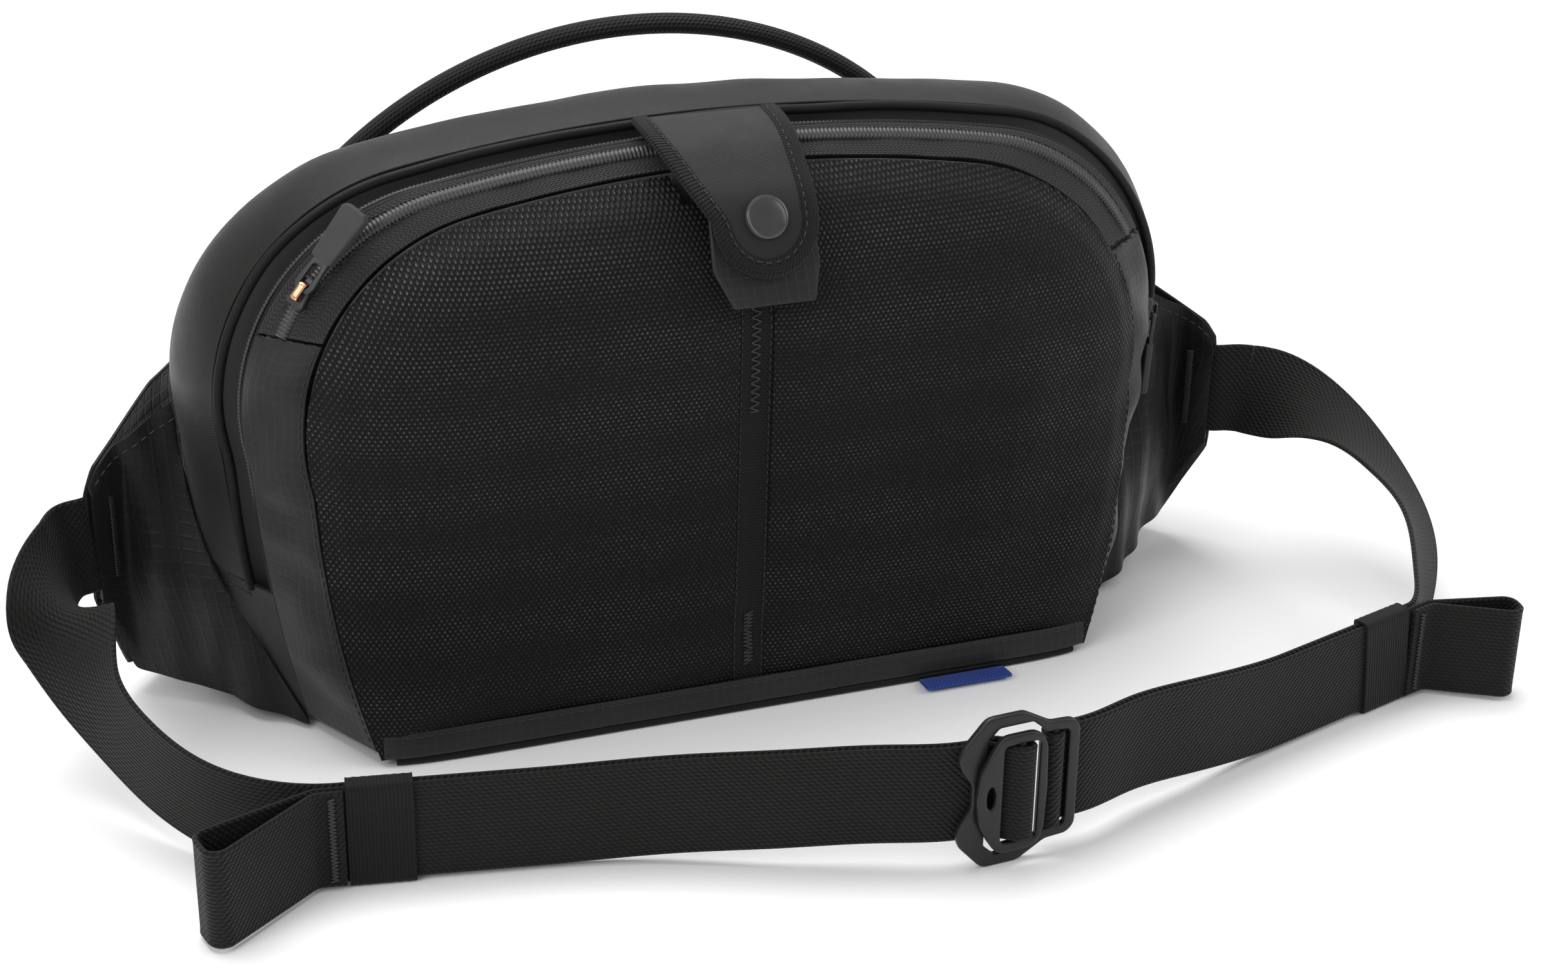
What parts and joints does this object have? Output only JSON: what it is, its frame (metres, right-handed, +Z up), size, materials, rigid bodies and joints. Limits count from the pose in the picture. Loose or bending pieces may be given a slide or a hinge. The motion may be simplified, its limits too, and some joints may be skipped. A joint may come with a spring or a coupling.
{
  "type": "hip pack",
  "caption": "Soft hip pack with a zipped main compartment, zipped front pocket with a stretch mesh stash, snap flap, grab handle and a webbing belt closed by a hook buckle.",
  "frame": {"origin": "middle of the bag's flat base, where it stands on the floor", "axes": "+X to the bag's right seen from the front, +Y to the back (the wearer's side), +Z up"},
  "size_m": [0.4819, 0.2273, 0.2051],
  "materials": {
    "shell_fabric": "coated ripstop, soft sheen",
    "lining_fabric": "matte",
    "spacer_mesh": "matte knit",
    "foam": "matte foam",
    "stretch_mesh": "knit with small glints",
    "trim_fabric": "matte weave",
    "zip_tape": "matte knit",
    "zip_coil": "satin",
    "webbing": "woven, matte",
    "elastic": "ribbed, matte",
    "coated_panel": "fine grain, satin",
    "side_tag": "woven",
    "snap": "satin",
    "buckle": "satin black coating",
    "slider_metal": "satin black coating",
    "bail_copper": "worn copper",
    "pull_frame": "matte",
    "pull_grip": "moulded, matte"
  },
  "bodies": {
    "bag": {"main_shell": "shell_fabric", "base_panel": "shell_fabric", "back_panel": "lining_fabric", "back_mesh": "spacer_mesh", "back_foam": "foam", "divider_wall": "lining_fabric", "organiser_pocket": "lining_fabric", "key_leash": "webbing", "key_hook": "slider_metal", "main_zip_rear_lip": "trim_fabric", "main_zip_tape": "zip_tape", "main_zip_coil": "zip_coil", "main_zip_front_lip": "trim_fabric", "side_gusset_left": "shell_fabric", "side_gusset_right": "shell_fabric", "front_zip_upper_tape": "zip_tape", "front_zip_coil": "zip_coil", "front_zip_lower_tape": "zip_tape", "pocket_wall": "lining_fabric", "mesh_left": "stretch_mesh", "mesh_right": "stretch_mesh", "centre_strip": "webbing", "front_binding": "trim_fabric", "front_piping": "trim_fabric", "side_tag": "side_tag", "under_tab": "coated_panel", "snap_stud": "snap", "handle_anchors": "shell_fabric", "wing_left_front": "shell_fabric", "wing_left_rear": "shell_fabric", "wing_right_front": "shell_fabric", "wing_right_rear": "shell_fabric", "webbing_left_end": "webbing", "webbing_right_end": "webbing", "wing_bartacks": "webbing"},
    "flap": {"flap_panel": "coated_panel", "flap_binding": "trim_fabric", "snap_cap": "snap", "snap_socket": "snap"},
    "handle": {"handle": "shell_fabric"},
    "belt": {"webbing_left": "webbing", "webbing_right": "webbing", "buckle_outer": "buckle"},
    "buckle_hook": {"buckle_inner": "buckle"},
    "keeper_left": {"keeper_left": "elastic"},
    "keeper_right": {"keeper_right": "elastic"},
    "front_slider": {"front_slider": "slider_metal", "front_slider_bail": "bail_copper"},
    "front_pull": {"front_pull_frame": "pull_frame", "front_pull_grip": "pull_grip"},
    "main_slider": {"main_slider": "slider_metal", "main_slider_bail": "bail_copper"},
    "main_pull": {"main_pull_frame": "pull_frame", "main_pull_grip": "pull_grip"}
  },
  "joints": [
    {"name": "flap_hinge", "type": "hinge", "parent": "bag", "child": "flap", "pos_m": [0, -0.0145, 0.1915], "axis": [-1, 0, 0], "range_deg": [0, 140]},
    {"name": "handle_hinge", "type": "hinge", "parent": "bag", "child": "handle", "pos_m": [-0.008, 0.0535, 0.159], "axis": [-1, 0, 0], "range_deg": [0, 95]},
    {"name": "belt_hinge", "type": "hinge", "parent": "bag", "child": "belt", "pos_m": [0, 0.011, 0.06], "axis": [1, 0, 0], "range_deg": [-90, 165]},
    {"name": "buckle_tilt", "type": "hinge", "parent": "belt", "child": "buckle_hook", "pos_m": [0.04526, -0.16279, 0.0255], "axis": [0, 0, 1], "range_deg": [0, 20]},
    {"name": "keeper_left_slide", "type": "slide", "parent": "belt", "child": "keeper_left", "axis": [0.9853, -0.1711, 0], "range_m": [0, 0.033]},
    {"name": "keeper_right_slide", "type": "slide", "parent": "belt", "child": "keeper_right", "axis": [-0.9558, -0.294, 0], "range_m": [0, 0.033]},
    {"name": "front_slider_travel", "type": "hinge", "parent": "bag", "child": "front_slider", "pos_m": [-0.07653, -0.02425, 0.10788], "axis": [0, 1, 0], "range_deg": [0, 35]},
    {"name": "front_pull_swing", "type": "hinge", "parent": "front_slider", "child": "front_pull", "pos_m": [-0.13248, -0.02715, 0.1537], "axis": [0.5604, -0.6994, -0.4436], "range_deg": [0, 150]},
    {"name": "main_slider_travel", "type": "hinge", "parent": "bag", "child": "main_slider", "pos_m": [0.08376, -0.0134, 0.10932], "axis": [0, -1, 0], "range_deg": [0, 78]},
    {"name": "main_pull_swing", "type": "hinge", "parent": "main_slider", "child": "main_pull", "pos_m": [0.15648, -0.0134, 0.10371], "axis": [0, -1, 0], "range_deg": [0, 150]}
  ]
}
